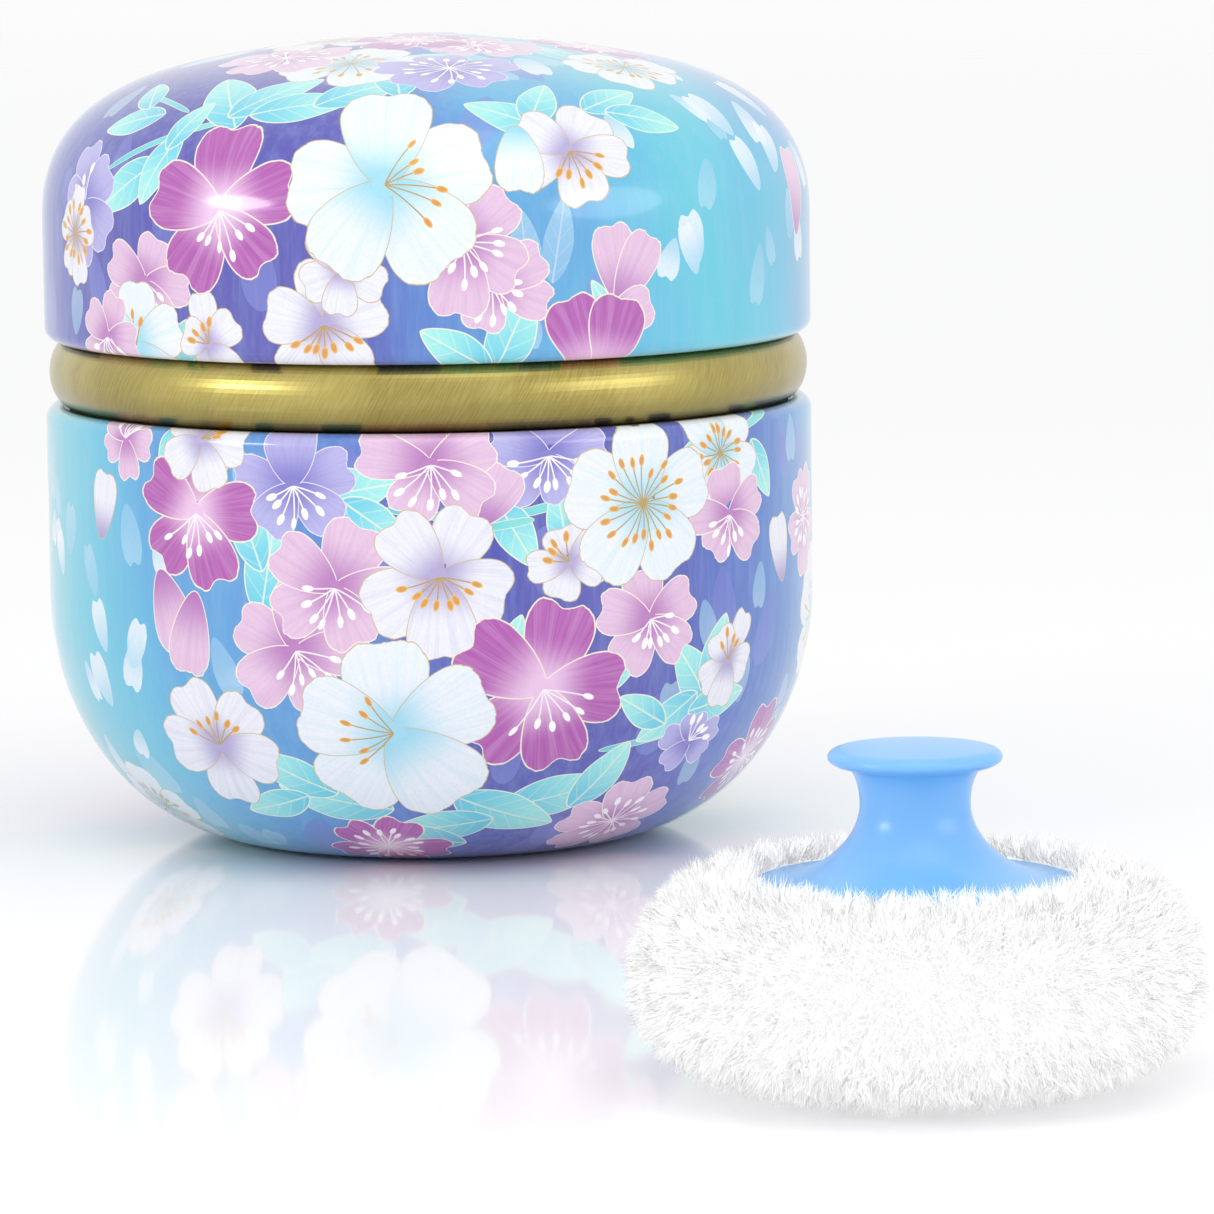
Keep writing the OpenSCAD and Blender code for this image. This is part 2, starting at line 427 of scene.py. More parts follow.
def revolve(path, steps, axis=(0.0, 0.0)):
    """Corners in metres and triangles of a path turned about a vertical axis, and each triangle's row."""
    corners, first, count = [], [], []
    angles = np.arange(steps) * 2 * math.pi / steps
    for r, z in path:
        first.append(sum(map(len, corners)))
        around = angles if r > 0 else angles[:1]
        count.append(len(around))
        x = axis[0] + r * MM * np.sin(around)
        y = axis[1] - r * MM * np.cos(around)
        corners.append(np.column_stack([x, y, np.full(len(around), z * MM)]))
    triangles, rows = [], []
    here = np.arange(steps)
    onward = (here + 1) % steps
    for i in range(len(path) - 1):
        a, b = first[i], first[i + 1]
        here_a, on_a = (here, onward) if count[i] > 1 else (here * 0, here * 0)
        here_b, on_b = (here, onward) if count[i + 1] > 1 else (here * 0, here * 0)
        if count[i] > 1:
            triangles.append(np.column_stack([a + here_a, a + on_a, b + on_b]))
        if count[i + 1] > 1:
            triangles.append(np.column_stack([a + here_a, b + on_b, b + here_b]))
        rows += [i] * (len(triangles[-1]) * (1 + (count[i] > 1 and count[i + 1] > 1)))
    return np.vstack(corners), np.vstack(triangles), np.array(rows)


def new_piece(name, corners, faces, body, materials):
    mesh = bpy.data.meshes.new(name)
    mesh.from_pydata(corners.tolist(), [], faces)
    mesh.validate()
    piece = bpy.data.objects.new(name, mesh)
    bpy.context.scene.collection.objects.link(piece)
    for material in materials:
        mesh.materials.append(material)
    mesh.shade_smooth()
    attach(piece, body)
    return piece


def turned_piece(node, name, body, material, axis):
    """A finely turned skin in place of a CAD node's."""
    outline = to_axis(ring_path(node, axis, from_top=True))
    corners, faces = revolve(outline, TURN_STEPS, axis)[:2]
    piece = new_piece(name, corners, faces[:, ::-1].tolist(), body, [material])
    piece.data.set_sharp_from_angle(angle=math.radians(SHARP_DEG))
    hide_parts(node)
    return piece


# ---------- the print's design ----------

CLEAR = (0, 0, 0, 0)


def inked(inner, reach, outer, cover, line, width):
    """Inner fades to outer over a share of the shape's length, inside a line whose width is in mm."""
    return {"inner": colour(inner, reach), "outer": colour(outer, cover), "line": colour(line, width)}


LOOKS = {
    "magenta": inked("f3cdee", 0.62, "ac42a8", 1, "f4e8d4", 0.15),
    "pink": inked("b267b6", 0.72, "e6c4e0", 1, "f8eede", 0.11),
    "white": inked("8fd6ec", 0.62, "eff3fa", 1, "cfb67e", 0.09),
    "pearl": inked("a596cc", 0.6, "eff0f8", 1, "cfb67e", 0.09),
    "lilac": inked("6f69c4", 0.8, "b6b2e6", 1, "ebe4f2", 0.09),
    "leaf": inked("5ecbe4", 0.9, "a6efe8", 1, "f0f4dc", 0.12),
    "twig": inked("5fcbdb", 0.9, "83dedb", 1, "e4ebcc", 0.08),
    "drift": inked("b4dcf0", 0.8, "f0f6fb", 0.82, "ffffff", 0),
    "ghost": inked("9fcdec", 0.9, "b9e0f2", 0.5, "ffffff", 0),
    "shade": inked("6f74cc", 0.9, "7f8cd8", 0.5, "ffffff", 0),
}
STAMENS = {
    "gold": {"stalk": colour("b8974a", 1.0), "tip": colour("dd9432")},
    "white": {"stalk": colour("fbf3fa", 2.0), "tip": colour("ffffff")},
}
# How deeply a blossom's petals are notched, their width on its circle, and its stamens
BLOSSOMS = {
    "magenta": (0.32, 3.35, "white"), "pink": (0.28, 3.5, "white"), "lilac": (0.26, 3.6, "white"),
    "white": (0.15, 3.8, "gold"), "pearl": (0.2, 3.7, "gold")}


class Print:
    """Flat shapes on the outer face of a turned shell, laid one over the other."""

    def __init__(self, path, edge, up):
        """edge is the point of the outer face's path at the open edge; up is 1 if the path rises there."""
        lengths = np.r_[0, np.cumsum(np.hypot(*np.diff(path, axis=0).T))]
        self.from_edge = (lengths[edge] - lengths)[::-1]
        self.path = path[::-1]
        self.up = up
        self.shapes = []
        self.dice = np.random.default_rng(PRINT_SEED)

    def spot(self, azimuth, distance):
        """The point at an azimuth in degrees, 0 in front, and a distance from the open edge in mm."""
        ahead = distance + 0.2
        here = [np.interp(distance, self.from_edge, self.path[:, i]) for i in (0, 1)]
        there = [np.interp(ahead, self.from_edge, self.path[:, i]) for i in (0, 1)]
        slope = np.subtract(there, here) * self.up
        slope = slope / np.hypot(*slope)
        turn = math.radians(azimuth)
        out = np.array([math.sin(turn), -math.cos(turn), 0])
        right = np.array([math.cos(turn), math.sin(turn), 0])
        up = out * slope[0] + np.array([0, 0, slope[1]])
        return out * here[0] + np.array([0, 0, here[1]]), right, up

    def add(self, azimuth, distance, shape):
        """Adds a shape, and once more half a turn round the tin."""
        for repeat in (0, 180):
            self.shapes.append({"at": self.spot(azimuth + repeat, distance), **shape})

    def outlined(self, azimuth, distance, turn, length, width, look, form, taper, offset=(0, 0)):
        """turn is the shape's own direction in degrees, 0 to the right and 90 up."""
        self.add(azimuth, distance, dict(
            kind="petal", turn=math.radians(turn), half=(length / 2, width / 2), taper=taper, form=form,
            offset=offset, look=LOOKS[look], seed=round(self.dice.random(), 3)))

    def petal(self, azimuth, distance, turn, length, width, look, notch=0.16, offset=(0, 0)):
        form = (*PETAL_POWERS, notch)
        self.outlined(azimuth, distance, turn, length, width, look, form, PETAL_TAPER, offset)

    def leaf(self, azimuth, distance, turn, length, width, look="leaf", offset=(0, 0)):
        self.outlined(azimuth, distance, turn, length, width, look, LEAF_FORM, LEAF_TAPER, offset)

    def twig(self, azimuth, distance, turn, length, width=0.7):
        self.outlined(azimuth, distance, turn, length, width, "twig", TWIG_FORM, TWIG_TAPER)

    @staticmethod
    def aside(turn, far, squash=1.0, tilt=0.0):
        """The offset to the right and up of a point far away along turn, on a flower seen at a slant."""
        turn = math.radians(turn)
        lean = math.radians(tilt)
        along = math.cos(turn - lean) * far
        across = math.sin(turn - lean) * far * squash
        return (along * math.cos(lean) - across * math.sin(lean),
                along * math.sin(lean) + across * math.cos(lean))

    def blossom(self, azimuth, distance, radius, turn, look, squash=1.0, tilt=0.0, fan=180,
                face=None, count=None):
        """An open blossom, seen at a slant where squash is under 1. fan is half the stamens' spread."""
        cut, share, stamens = BLOSSOMS[look]
        for i in PETAL_ORDER:
            direction = turn + 360 / PETALS * i + self.dice.uniform(-PETAL_SWAY_DEG, PETAL_SWAY_DEG)
            reach = radius * self.dice.uniform(0.9, 1.06)
            offset = self.aside(direction, reach * 0.5, squash, tilt)
            tip = self.aside(direction, 1, squash, tilt)
            side = self.aside(direction + 90, 1, squash, tilt)
            long = reach * math.hypot(*tip)
            wide = reach * share / PETALS * math.hypot(*side) * self.dice.uniform(1.0, 1.16)
            self.petal(azimuth, distance, math.degrees(math.atan2(tip[1], tip[0])), long * 1.06, wide,
                       look, cut * self.dice.uniform(0.8, 1.25), offset)
        heart_r = radius * HEART_SHARE
        tone = tuple(a * 0.88 + b * 0.12 for a, b in zip(LOOKS[look]["inner"], LOOKS[look]["outer"]))
        heart = {"inner": tone[:3] + (1.0,), "outer": tone[:3] + (1.0,), "line": CLEAR}
        self.add(azimuth, distance, dict(
            kind="petal", turn=math.radians(tilt), half=(heart_r, heart_r * squash),
            taper=0, form=(2, 2, 0), offset=(0, 0), look=heart, seed=0))
        stamen_r = radius * STAMEN_SHARE
        number = count or round(STAMENS_ALL_ROUND * fan / 180)
        self.add(azimuth, distance, dict(
            kind="stamens", turn=math.radians(turn + 180 / PETALS if face is None else face),
            half=(stamen_r, stamen_r * max(squash, 0.6)), taper=0,
            form=(1, math.radians(fan), number), offset=(0, 0), look=STAMENS[stamens],
            seed=round(self.dice.random(), 3)))

    def sprig(self, azimuth, distance, turn, length):
        """A twig with a pair of leaves and one at its end."""
        self.twig(azimuth, distance, turn, length)
        end = self.aside(turn, length * 0.5)
        for side, size, foot in ((42, 0.42, (0, 0)), (-40, 0.38, (0, 0)), (4, 0.46, end)):
            offset = np.add(foot, self.aside(turn + side, length * size * 0.5))
            self.leaf(azimuth, distance, turn + side, length * size, length * size * 0.42,
                      offset=tuple(offset))

    def scatter(self, number, low, high, look, size, notch, near, spread):
        """Loose, faint petals, spread to both sides of an azimuth."""
        for i in range(number):
            azimuth = near + spread * (2 * (i + self.dice.uniform(0, 0.9)) / number - 1)
            distance = self.dice.uniform(low, high)
            length = self.dice.uniform(0.7, 1.3) * size
            turn = self.dice.choice([90, -90]) + self.dice.uniform(-24, 24)
            self.outlined(azimuth, distance, turn, length, length * self.dice.uniform(0.38, 0.58), look,
                          (*LOOSE_POWERS, notch), self.dice.uniform(0.1, 0.4))

    def local(self, shape, points):
        """The points' places along and across a shape, in mm."""
        spot, right, up = shape["at"]
        flat = points - spot
        u = flat @ right - shape["offset"][0]
        v = flat @ up - shape["offset"][1]
        cos = math.cos(shape["turn"])
        sin = math.sin(shape["turn"])
        return u * cos + v * sin, v * cos - u * sin

    def shades(self, part):
        """Each shape's colour for one of its parts, and at the end a clear one for bare faces."""
        return np.array([shape["look"].get(part, CLEAR) for shape in self.shapes] + [CLEAR])

    @staticmethod
    def near(shape, centres, reach):
        """The faces that are close enough to a shape, and on its side of the tin, to show it."""
        spot, right, up = shape["at"]
        middle = spot + right * shape["offset"][0] + up * shape["offset"][1]
        size = max(shape["half"]) * 1.35 + reach + 0.5
        near = np.flatnonzero(np.abs(centres - middle).max(axis=1) < size)
        facing = (centres[near] - middle) @ np.cross(right, up)
        return near[facing > -size * 0.6]

    def lay(self, mesh, points, faces):
        """Stores on each face the few shapes that show there, the top one first."""
        total = len(faces)
        corners = points[faces]
        centres = corners.mean(axis=1)
        reach = np.abs(corners - centres[:, None]).max()
        place = np.tile([5.0, 0, 0], (PETAL_SLOTS, total, 3, 1))
        shape_of = np.full((PETAL_SLOTS, total), -1)
        stamen_place = np.tile([50.0, 0, 0], (total, 3, 1))
        stamen_of = np.full(total, -1)
        used = np.zeros(total, dtype=int)
        covered = np.zeros(total, dtype=bool)
        for index, shape in reversed(list(enumerate(self.shapes))):
            near = self.near(shape, centres, reach)
            near = near[~covered[near]]
            if not len(near):
                continue
            x, y = self.local(shape, np.concatenate([corners[near], centres[near][:, None]], axis=1))
            if shape["kind"] == "stamens":
                close = np.hypot(x, y).min(axis=1) < shape["half"][0] * 1.12 + 0.4
                fits = close & (stamen_of[near] < 0) & (used[near] <= ABOVE_STAMENS)
                hit = near[fits]
                stamen_of[hit] = index
                used[hit] = ABOVE_STAMENS
                stamen_place[hit] = seeded(x[fits], y[fits], shape["seed"])
                continue
            depth, inside, x, y = petal_depth(shape, x, y)
            fits = (depth.max(axis=1) > -SHOWS_WITHIN_MM) & (used[near] < PETAL_SLOTS)
            hit = near[fits]
            slots = used[hit]
            place[slots, hit] = seeded(x[fits], y[fits], shape["seed"])
            shape_of[slots, hit] = index
            used[hit] += 1
            hides = (inside.min(axis=1) > HIDES_FROM) & (shape["look"]["outer"][3] >= 1)
            covered[near[hides]] = True
        self.keep(mesh, place, shape_of, stamen_place, stamen_of)

    def keep(self, mesh, place, shape_of, stamen_place, stamen_of):
        """Stores the shapes that the faces show as the mesh's attributes."""
        half = np.array([(*shape["half"], shape["taper"]) for shape in self.shapes] + [(1, 1, 0)])
        form = np.array([shape["form"] for shape in self.shapes] + [(2, 2, 0)])
        for slot, which in enumerate(shape_of):
            store(mesh, f"place_{slot}", "CORNER", place[slot])
            store(mesh, f"shape_{slot}", "FACE", half[which])
            store(mesh, f"form_{slot}", "FACE", form[which])
            for part in ("inner", "outer", "line"):
                store(mesh, f"{part}_{slot}", "FACE", self.shades(part)[which])
        stamen_form = np.column_stack([half[:, 0], form[:, 1:]])
        stamen_form[-1] = (1, 1, 8)
        store(mesh, "stamen_place", "CORNER", stamen_place)
        store(mesh, "stamen_form", "FACE", stamen_form[stamen_of])
        for part in ("stalk", "tip"):
            store(mesh, f"stamen_{part}", "FACE", self.shades(part)[stamen_of])


def seeded(x, y, seed):
    """The places of each face's three corners, with the shape's seed beside them."""
    return np.stack([x[:, :3], y[:, :3], np.full((len(x), 3), seed)], axis=-1)


def petal_depth(shape, x, y):
    """How deep points in mm lie inside a petal, as petal_layer has it, without the small teeth."""
    x = x / shape["half"][0]
    y = y / shape["half"][1]
    power_x, power_y, notch = shape["form"]
    wide = np.maximum(1 + shape["taper"] * x, 0.1)
    across = y / wide
    along = x + max(notch, 0) * np.maximum(x, 0) * np.exp(-NOTCH_SHARPNESS * across * across)
    inside = 1 - np.abs(along) ** power_x - np.abs(across) ** power_y
    slope_x = power_x * np.abs(along) ** (power_x - 1) / shape["half"][0]
    slope_y = power_y * np.abs(across) ** (power_y - 1) / (shape["half"][1] * wide)
    return inside / np.sqrt(slope_x ** 2 + slope_y ** 2 + 0.0004), inside, x, y


def store(mesh, name, domain, values):
    """Stores values for the printed faces, which come first, on a mesh that may have more faces."""
    wide = values.shape[-1]
    kind, label = ("FLOAT_COLOR", "color") if wide == 4 else ("FLOAT_VECTOR", "vector")
    attribute = mesh.attributes.new(name, kind, domain)
    whole = np.zeros((len(attribute.data), wide), dtype=np.float32)
    flat = values.reshape(-1, wide)
    whole[:len(flat)] = flat
    attribute.data.foreach_set(label, whole.ravel())


def lid_design(art):
    art.scatter(24, 3, 56, "shade", 6, 0, -30, 60)
    art.scatter(22, 3, 56, "ghost", 5.5, 0.3, 60, 60)
    art.scatter(16, 3, 40, "drift", 5.5, 0.35, 52, 28)
    # leaves and twigs, which the blossoms lie on
    art.twig(-45, 22, 25, 15, 0.8)
    art.twig(-52, 27, 165, 9, 0.7)
    for azimuth, distance, turn, length in (
            (-38, 28, 130, 10), (-29, 29, 50, 9), (-22, 27, 15, 9), (-12, 30, 35, 9), (-56, 24, 200, 7),
            (-50, 17, 215, 8), (-44, 19, 250, 7), (-60, 28, 140, 6), (-42, 24, 75, 6), (12, 3.5, 65, 8.5),
            (4, 2, 150, 7), (14, 25, 150, 8), (20, 27, 60, 7), (-36, 3, 30, 7), (34, 27, 20, 7),
            (38, 24, -20, 7), (-6, 33, 100, 8), (8, 40, 160, 8), (45, 41, 80, 7), (-80, 38, 100, 7)):
        art.leaf(azimuth, distance, turn, length * 1.12, length * 0.54)
    art.leaf(14, 11, 95, 8, 3.2, "ghost")
    art.leaf(19, 12, 80, 8, 3, "ghost")
    art.sprig(27, 5, 80, 9)
    # blossoms on the crown
    art.blossom(-20, 38, 8, 80, "white", squash=0.85)
    art.blossom(6, 36, 7.4, 20, "lilac", squash=0.8)
    art.blossom(-46, 40, 7, 50, "pink")
    art.blossom(52, 34, 6.6, 10, "white", squash=0.8)
    art.blossom(75, 42, 6.5, 40, "magenta")
    art.blossom(24, 46, 6.4, 70, "pink")
    art.blossom(-70, 49, 7, 10, "pearl")
    art.blossom(-8, 51, 6.5, 30, "magenta")
    # the wall
    art.blossom(-60, 15, 6.5, 115, "lilac", squash=0.7, tilt=100, fan=60)
    art.blossom(-63, 12, 5.2, 80, "pearl", squash=0.7, tilt=80)
    art.blossom(-45, 8, 6.3, 75, "pink", squash=0.8, fan=70, face=-90)
    art.blossom(-47, 2, 6, 95, "white", fan=60)
    art.blossom(-33, 2.5, 4.8, 100, "pearl", fan=50, squash=0.75, tilt=90)
    art.blossom(-54, 2.5, 4.8, 70, "pink", fan=70, face=-90)
    art.blossom(9, 8, 6, -30, "pink", squash=0.8, fan=80, face=-60)
    art.blossom(5, 12, 7, 45, "pink", fan=90, face=-50)
    art.blossom(22, 20.5, 6.6, 60, "pearl", squash=0.85, fan=70, face=-60)
    art.petal(14, 20, -95, 7.5, 4.4, "white")
    art.petal(28, 9.5, 100, 8.5, 4.2, "pink")
    art.petal(31, 9, 60, 8, 4, "pink")
    art.petal(30, 5, 20, 6, 4, "pink")
    art.petal(22, 3.2, 110, 8, 5.4, "magenta")
    art.petal(27.5, 3, 75, 8, 5.6, "magenta")
    art.blossom(-31, 15, 8, 95, "magenta", fan=62, face=-75)
    art.blossom(-15, 4.5, 6.6, 90, "pearl", fan=75, face=-80)
    art.blossom(-12, 9.5, 4.6, 50, "pearl", fan=20, count=3)
    art.blossom(-6, 17.5, 9.8, 25, "white", fan=62, face=15)
    art.petal(72, 15, 85, 9, 4.4, "pink")


def body_design(art):
    art.scatter(26, 3, 48, "shade", 6, 0, 30, 55)
    art.scatter(20, 3, 48, "ghost", 5.5, 0.3, -70, 45)
    art.scatter(14, 6, 40, "drift", 5, 0.35, -66, 24)
    art.scatter(10, 8, 40, "ghost", 5, 0.3, 60, 24)
    for twig in ((3, 8.5, -8, 13, 0.9), (15, 8, 12, 12, 0.9), (52, 2, 15, 12, 0.7),
                 (43, 27, 30, 14, 0.9), (36, 31, 10, 12, 0.8)):
        art.twig(*twig)
    for azimuth, distance, turn, length in (
            (-12, 6, 10, 8.5), (-8, 9, -35, 7), (-24, 13, 80, 9), (-27, 10, 110, 7), (12, 10, -60, 7),
            (19, 9, 100, 6), (25, 12, 80, 6), (42, 25, 130, 8), (46, 23, 70, 7), (38, 29, 215, 7),
            (33, 28, 150, 6), (48, 28, 10, 7), (21, 37, 15, 10), (12, 39, -25, 10), (-17, 37, 165, 10),
            (-23, 34, 150, 8), (1, 41, 190, 9), (-4, 43, 160, 9), (28, 35, 60, 8), (-40, 3, 250, 7),
            (40, 5, 60, 6), (57, 6, -60, 6), (-28, 38, 200, 7)):
        art.leaf(azimuth, distance, turn, length * 1.12, length * 0.54)
    art.leaf(-18, 22, 100, 9, 3.2, "shade")
    art.twig(8, 9.5, 8, 9, 0.8)
    art.leaf(11, 21, 70, 7, 3)
    art.leaf(27, 24, 30, 7, 3)
    # along the rim
    art.blossom(-50, 2, 4, 60, "pink", fan=60)
    art.blossom(17, 3, 6.4, 80, "lilac", squash=0.75, fan=90, face=-80)
    art.petal(9, 6.5, 60, 6.5, 4.4, "pink")
    art.blossom(0, 3.5, 7, 100, "pink", squash=0.8, fan=80, face=-85)
    art.blossom(-20, 5.5, 6.4, 25, "lilac", squash=0.85, fan=80, face=-80)
    art.blossom(47, 4, 5.6, 50, "white")
    art.blossom(49, 10, 6.2, 100, "pink", squash=0.75, fan=70, face=-100)
    art.blossom(-36, 8.5, 7.6, 80, "magenta", fan=62, face=-85)
    art.blossom(-35, 1.5, 4.8, 0, "pearl", fan=30, count=4)
    # middle
    art.blossom(20, 13, 4.8, 110, "pearl", squash=0.75, tilt=20, fan=50)
    art.blossom(33, 19, 6.2, 95, "pink", fan=75, face=-60, squash=0.85)
    art.blossom(32, 8, 8.2, 18, "white", count=22)
    art.petal(-41, 18, -70, 8.5, 4.8, "pink")
    art.petal(-37.5, 20, -100, 8.5, 4.6, "pink")
    art.blossom(-20, 21, 7.4, 150, "pink", squash=0.85, fan=70, face=-60)
    art.blossom(-14, 15, 7.4, 75, "pink", squash=0.85, fan=80, face=-100)
    art.blossom(1, 14, 7.6, 60, "pearl", fan=85, face=-80)
    art.blossom(16, 25, 9.4, 75, "magenta", fan=70, face=-60)
    art.blossom(-6, 29, 9.6, 95, "white", fan=62, face=-175)
    art.blossom(-35, 31, 6.8, 120, "pearl", fan=70, face=100)
    art.blossom(49, 24, 5.4, 60, "pearl", squash=0.65, tilt=60, fan=50)
    art.blossom(44, 32, 4.6, 20, "lilac", squash=0.7, fan=60)
    # around the base
    for flower in ((36, 42, 6.4, 20, "pink"), (-10, 45, 6.4, 60, "magenta"),
                   (66, 36, 6.5, 30, "magenta"), (-62, 41, 6, 80, "white"), (82, 22, 7, 10, "white"),
                   (74, 12, 5.5, 50, "pink")):
        art.blossom(*flower)
    art.petal(63, 14, 100, 7, 3.8, "pearl")
    art.petal(-56, 8.5, 80, 7, 3.8, "pearl")


# ---------- materials ----------

def print_material(name, stops, layer_petal, layer_stamens):
    """The print under clear gloss lacquer; stops are the ground's colours round half the tin."""
    material, graph = new_material(name, Roughness=0.38, Coat_Weight=1.0, Coat_Roughness=0.11,
                                   Coat_IOR=1.5)
    here = graph.place()
    x, y, z = graph.split(here)
    turn = graph.maths("ARCTAN2", x, y * -1) / math.pi
    wash = graph.noise(graph.stretch(here, (1, 1, 0.35)), 60, 2.0)
    share = turn + (wash - 0.5) * 0.22 + z * 1.2
    share = share - graph.maths("FLOOR", share)
    ground = steps_to(graph, share, stops)
    silk = graph.noise(graph.stretch(here, (1, 1, 0.12)), 900, 3.0, 0.7)
    ground = graph.mix(graph.ramp(silk, 0.35, 0.75) * 0.16, ground, colour("9fc9ee"))
    shade = ground
    for slot in reversed(range(PETAL_SLOTS)):
        if slot == ABOVE_STAMENS - 1:
            shade = graph.wire(graph.node("ShaderNodeGroup", {
                "Under": shade, "Place": graph.attribute("stamen_place", "Vector"),
                "Form": graph.attribute("stamen_form", "Vector"),
                "Stalk": graph.attribute("stamen_stalk"),
                "On": graph.attribute("stamen_stalk", "Alpha"), "Tip": graph.attribute("stamen_tip")},
                node_tree=layer_stamens))
        inputs = {"Under": shade}
        for label in ("Place", "Shape", "Form"):
            inputs[label] = graph.attribute(f"{label.lower()}_{slot}", "Vector")
        for label, share_label in (("Inner", "Reach"), ("Outer", "Cover"), ("Line", "Width")):
            source = graph.node("ShaderNodeAttribute", attribute_name=f"{label.lower()}_{slot}")
            inputs[label] = graph.wire(source, "Color")
            inputs[share_label] = graph.wire(source, "Alpha")
        shade = graph.wire(graph.node("ShaderNodeGroup", inputs, node_tree=layer_petal))
    grain = graph.noise(here, 3300, 2.0, 0.6)
    shade = graph.mix(graph.ramp(grain, 0.3, 0.8) * 0.07, shade, colour("6f74a8"))
    graph.finish(Base_Color=graph.mix(INK_DEPTH, shade, colour("000000")))
    peel = graph.noise(here, 420, 2.0)
    graph.finish(Coat_Normal=graph.bump(peel, 0.000004, 0.35))
    return material


def tinplate_material():
    material, graph = new_material("bare_tinplate", Metallic=1.0, Specular_IOR_Level=0.5)
    here = graph.place()
    grain = graph.noise(graph.stretch(here, (1, 0.04, 1)), 1800, 3.0, 0.7)
    cloud = graph.noise(here, 70, 3.0)
    shade = graph.mix(grain, colour("b9bcc0"), colour("dcdee0"))
    graph.finish(Base_Color=graph.mix(cloud * 0.3, shade, colour("a8abb2")),
                 Roughness=0.26 + grain * 0.16, Normal=graph.bump(grain, 0.000004, 0.4))
    return material


def gold_material():
    """Satin gold lacquer over slantwise brushed tinplate, with painted shade that darkens it towards the
    body's seam.
    """
    material, graph = new_material("gold_lacquer", Metallic=1.0, Coat_Weight=0.6, Coat_Roughness=0.22)
    here = graph.place()
    x, y, z = graph.split(here)
    around = graph.maths("ARCTAN2", x, y * -1) * BAND_R_MM * MM
    along = around * 0.5 + z * 0.87
    across = z * 0.5 - around * 0.87
    brushed = graph.noise(graph.join(along, across * 14, 0.0), 420, 3.0, 0.6)
    cloud = graph.noise(graph.stretch(here, (1, 1, 0.4)), 140, 2.0)
    shade = graph.mix(graph.ramp(cloud, 0.3, 0.7), colour("9c8c3e"), colour("b3a355"))
    shade = graph.mix(graph.ramp(brushed, 0.35, 0.7) * 0.35, shade, colour("d3c684"))
    # Painted shade: the band is darkened towards its lower edge at the body's seam, where shadow falls.
    seam_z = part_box("body_shell")[1][2]
    from_seam = (z - seam_z) / MM
    painted_seam_shade = 1 - graph.ramp(from_seam, 0.2, 4.0)
    graph.finish(Base_Color=graph.mix(painted_seam_shade * 0.6, shade, colour("63561e")),
                 Roughness=0.27 + brushed * 0.12, Normal=graph.bump(brushed, 0.000008, 0.5))
    return material


def blue_plastic_material():
    material, graph = new_material("blue_plastic", Roughness=0.3, Coat_Weight=0.12, Coat_Roughness=0.1,
                                   Subsurface_Weight=0.12, Subsurface_Scale=0.002)
    here = graph.place()
    flow = graph.noise(graph.stretch(here, (1, 1, 0.5)), 160, 3.0)
    graph.finish(Base_Color=graph.mix(flow, colour("70b2ee"), colour("80bff4")),
                 Normal=graph.bump(graph.noise(here, 300, 2.0), 0.00001, 0.3))
    return material


def talc_material():
    material, graph = new_material("talc", Roughness=0.95, Sheen_Weight=0.3, Sheen_Roughness=0.6)
    here = graph.place()
    fine = graph.noise(here, 2400, 4.0, 0.75)
    lumps = graph.noise(here, 260, 3.0)
    graph.finish(Base_Color=graph.mix(lumps, colour("f2f0ec"), colour("fbfaf7")),
                 Normal=graph.bump(fine + lumps * 2, 0.00012, 0.7))
    return material


def fabric_material(name, low, high, scale, distance, painted_glow=0.0):
    """A fibrous white or cream material for the puff's soft parts, which can glow with painted light of
    its own.
    """
    material, graph = new_material(name, Roughness=0.9, Sheen_Weight=0.6, Sheen_Roughness=0.4,
                                   Emission_Color=(1, 1, 1, 1), Emission_Strength=painted_glow)
    here = graph.place()
    fibres = graph.noise(here, scale, 4.0, 0.7)
    graph.finish(Base_Color=graph.mix(fibres, colour(low), colour(high)),
                 Normal=graph.bump(fibres, distance, 0.8))
    return material


def thread_material():
    """Twisted thread: the ply runs slantwise round the loop."""
    material, graph = new_material("thread", Roughness=0.75, Sheen_Weight=0.3)
    x, y, z = graph.split(graph.place())
    turn = graph.maths("ARCTAN2", x - PUFF_AXIS[0], y - PUFF_AXIS[1])
    ply = graph.maths("PINGPONG", turn * 14 + z * 2500, 0.5)
    graph.finish(Base_Color=graph.mix(ply, colour("dcdad4"), colour("faf9f5")),
                 Normal=graph.bump(ply, 0.00008, 0.8))
    return material


def clear_plastic_material():
    material, graph = new_material("clear_plastic", Roughness=0.3, Transmission_Weight=0.5, IOR=1.49)
    cloud = graph.noise(graph.place(), 300, 3.0)
    graph.finish(Base_Color=graph.mix(cloud, colour("cdd8e2"), colour("e6eef4")),
                 Normal=graph.bump(cloud, 0.00002, 0.3))
    return material


def pile_material():
    """White plush fibres, shaded by the pad's own form so that the pile looks soft, with a painted glow
    that keeps them white.
    """
    # Painted light: the fibres emit light of their own, standing in for light passing through the white
    # pile.
    material, graph = new_material("plush_pile", Roughness=0.85, Sheen_Weight=0.5, Sheen_Roughness=0.35,
                                   Emission_Color=(1, 1, 1, 1), Emission_Strength=0.46)
    along = graph.attribute("along", "Fac")
    tint = graph.attribute("tint", "Fac")
    shade = graph.mix(along, colour("f4f5f8"), colour("ffffff"))
    graph.finish(Base_Color=graph.mix(tint * 0.25, shade, colour("f4f1ec")))
    lean = graph.attribute("pad_normal", "Vector")
    world = graph.node("ShaderNodeVectorTransform", {0: lean}, vector_type="NORMAL",
                       convert_from="OBJECT", convert_to="WORLD")
    own = graph.wire(graph.node("ShaderNodeNewGeometry"), "Normal")
    both = graph.node("ShaderNodeMix", {0: 0.7, 4: own, 5: graph.wire(world)}, data_type="VECTOR")
    graph.finish(Normal=graph.wire(both, 1))
    return material


